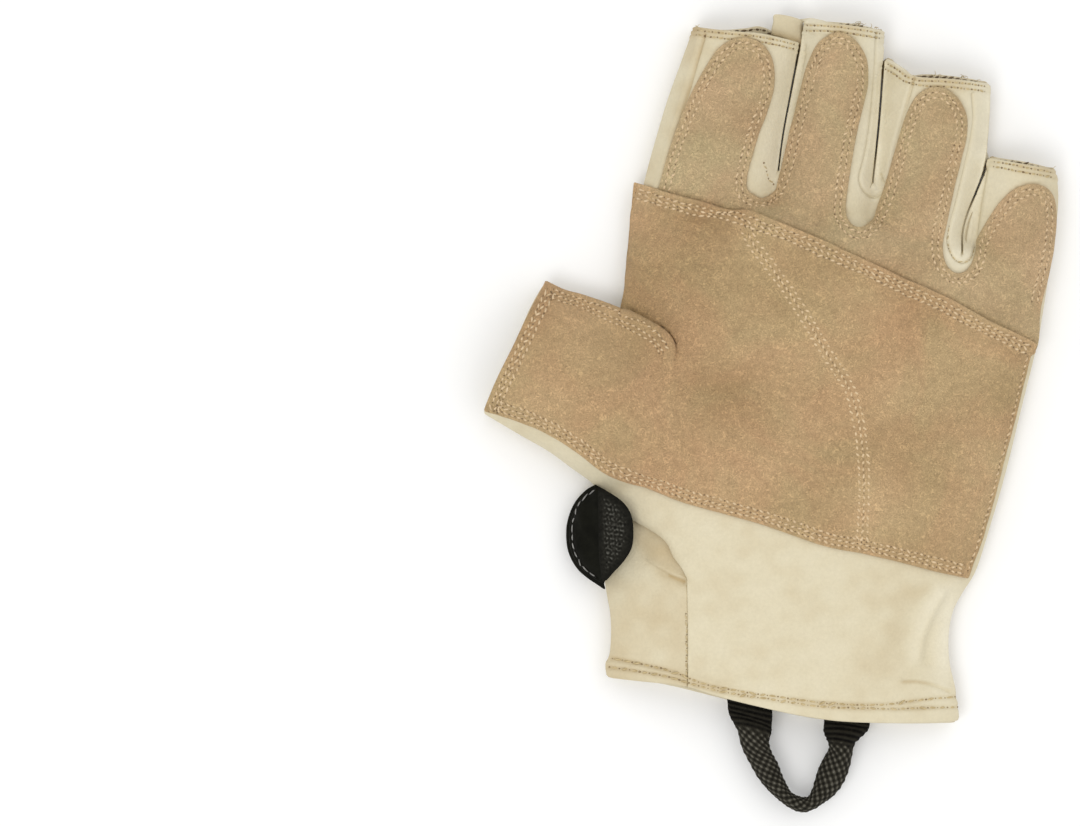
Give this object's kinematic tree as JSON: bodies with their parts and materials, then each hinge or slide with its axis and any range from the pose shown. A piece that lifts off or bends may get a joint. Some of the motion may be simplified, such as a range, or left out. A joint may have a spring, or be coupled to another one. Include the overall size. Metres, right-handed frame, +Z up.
{
  "type": "climbing glove",
  "caption": "Half-finger climbing glove for the left hand in cream leather with suede palm layers, a wrist closure tab and a webbing loop.",
  "frame": {"origin": "under the middle of the whole glove, at the height of the surface that it lies on", "axes": "+Y from the wrist to the fingers, +X from the thumb side to the little finger side, +Z up out of the palm"},
  "size_m": [0.156, 0.2154, 0.0241],
  "materials": {
    "cream_leather": "smooth cream goatskin with fine grain and soft wrinkles",
    "suede": "tan suede with short nap and mottled wear",
    "black_leather": "smooth black leather, satin",
    "black_webbing": "ribbed black woven webbing, matte"
  },
  "bodies": {
    "root": {"palm_leather": "cream_leather", "back_leather": "cream_leather", "wrist_side_panel": "cream_leather", "thumb_palm_leather": "cream_leather", "thumb_back_leather": "cream_leather", "gusset_index_middle": "cream_leather", "gusset_middle_ring": "cream_leather", "gusset_ring_little": "cream_leather", "index_hem": "cream_leather", "middle_hem": "cream_leather", "ring_hem": "cream_leather", "little_hem": "cream_leather", "thumb_hem": "cream_leather", "cuff_hem": "cream_leather", "suede_finger_overlay": "suede", "suede_thumb_patch": "suede", "suede_palm_patch": "suede", "closure_strap": "black_leather", "closure_tab_backing": "black_leather", "closure_tab_leather": "black_leather", "closure_tab_ribbed": "black_webbing", "webbing_loop": "black_webbing"}
  },
  "joints": []
}
